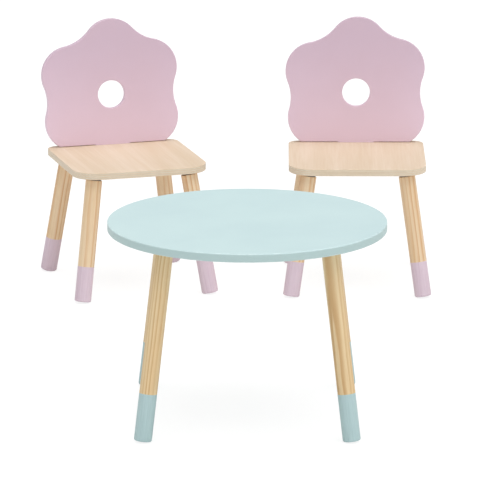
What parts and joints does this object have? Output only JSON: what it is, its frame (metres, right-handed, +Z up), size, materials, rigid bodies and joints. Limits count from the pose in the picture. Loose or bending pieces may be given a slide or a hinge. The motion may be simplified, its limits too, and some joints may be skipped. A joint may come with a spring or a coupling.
{
  "type": "children's table and chairs",
  "caption": "Low round table with splayed dipped legs and two small chairs with flower-shaped backs, plywood seats and dipped legs.",
  "frame": {"origin": "on the floor under the middle of the whole set's footprint", "axes": "+X to the right and +Y away as seen from the table's front, +Z up; each chair faces roughly along -Y"},
  "size_m": [0.912, 1.6147, 0.5945],
  "materials": {
    "mint_paint": "satin paint on board",
    "pink_paint": "satin paint on board",
    "birch_plywood": "clear satin lacquer",
    "table_leg_pine": "clear satin lacquer, lower end dipped in mint paint",
    "chair_leg_pine": "clear satin lacquer, lower end dipped in pink paint",
    "dark_steel": "black oxide",
    "zinc_steel": "zinc plated"
  },
  "bodies": {
    "table": {"table_top": "mint_paint", "table_leg_front_left": "table_leg_pine", "table_leg_front_right": "table_leg_pine", "table_leg_rear_left": "table_leg_pine", "table_leg_rear_right": "table_leg_pine", "table_washer_front_left": "dark_steel", "table_washer_front_right": "dark_steel", "table_washer_rear_left": "dark_steel", "table_washer_rear_right": "dark_steel", "table_inserts": "zinc_steel", "table_hanger_bolts": "zinc_steel"},
    "chair_left": {"chair_left_seat": "birch_plywood", "chair_left_back": "pink_paint", "chair_left_leg_front_left": "chair_leg_pine", "chair_left_leg_front_right": "chair_leg_pine", "chair_left_leg_rear_left": "chair_leg_pine", "chair_left_leg_rear_right": "chair_leg_pine", "chair_left_washer_front_left": "dark_steel", "chair_left_washer_front_right": "dark_steel", "chair_left_washer_rear_left": "dark_steel", "chair_left_washer_rear_right": "dark_steel", "chair_left_inserts": "zinc_steel", "chair_left_hanger_bolts": "zinc_steel", "chair_left_back_bolts": "zinc_steel", "chair_left_barrel_nuts": "dark_steel"},
    "chair_right": {"chair_right_seat": "birch_plywood", "chair_right_back": "pink_paint", "chair_right_leg_front_left": "chair_leg_pine", "chair_right_leg_front_right": "chair_leg_pine", "chair_right_leg_rear_left": "chair_leg_pine", "chair_right_leg_rear_right": "chair_leg_pine", "chair_right_washer_front_left": "dark_steel", "chair_right_washer_front_right": "dark_steel", "chair_right_washer_rear_left": "dark_steel", "chair_right_washer_rear_right": "dark_steel", "chair_right_inserts": "zinc_steel", "chair_right_hanger_bolts": "zinc_steel", "chair_right_back_bolts": "zinc_steel", "chair_right_barrel_nuts": "dark_steel"}
  },
  "joints": [
    {"name": "left_chair_slide", "type": "slide", "parent": "table", "child": "chair_left", "axis": [0.284, -0.9588, 0], "range_m": [-0.1, 0.6]},
    {"name": "right_chair_slide", "type": "slide", "parent": "table", "child": "chair_right", "axis": [-0.0087, -1, 0], "range_m": [-0.1, 0.6]}
  ]
}
